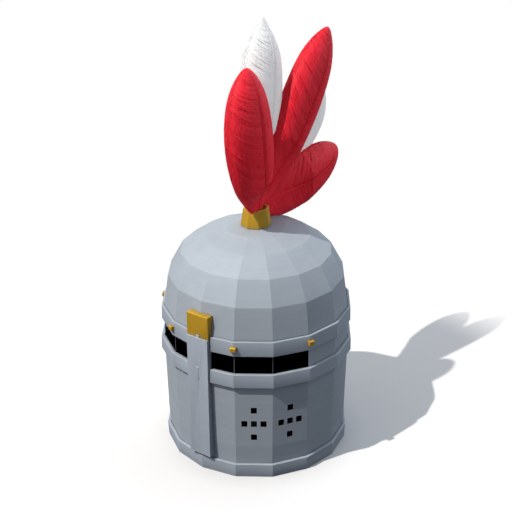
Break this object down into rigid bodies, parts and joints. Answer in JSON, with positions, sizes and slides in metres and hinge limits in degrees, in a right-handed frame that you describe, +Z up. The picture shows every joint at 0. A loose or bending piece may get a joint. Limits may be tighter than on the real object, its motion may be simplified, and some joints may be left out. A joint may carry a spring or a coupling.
{
  "type": "great helm with plume",
  "caption": "Closed steel great helm in flats, with raised bands, eye slits, nasal bar, breath holes, gilt fittings and a fanned red and white feather plume.",
  "frame": {"origin": "centre of the head opening, in the plane of the bottom rim that the helm stands on", "axes": "+Z up along the helm's axis to the crown; the face and nasal bar look towards -Y; +X towards the wearer's left"},
  "size_m": [0.2652, 0.3383, 0.577],
  "materials": {
    "steel": "satin, hand-finished flats",
    "gilt_brass": "satin gilt",
    "red_feather": "soft dyed barbs",
    "white_feather": "soft natural barbs"
  },
  "bodies": {
    "root": {"skull": "steel", "face_plate": "steel", "back_plate": "steel", "rim_band": "steel", "sight_band": "steel", "brow_band": "steel", "nasal_bar": "steel", "brow_block": "gilt_brass", "rivet_front_right": "gilt_brass", "rivet_front_left": "gilt_brass", "rivet_side_right": "gilt_brass", "rivet_side_left": "gilt_brass", "plume_socket": "gilt_brass", "feather_front_red": "red_feather", "feather_middle_red": "red_feather", "feather_back_red": "red_feather", "feather_front_white": "white_feather", "feather_back_white": "white_feather"}
  },
  "joints": []
}
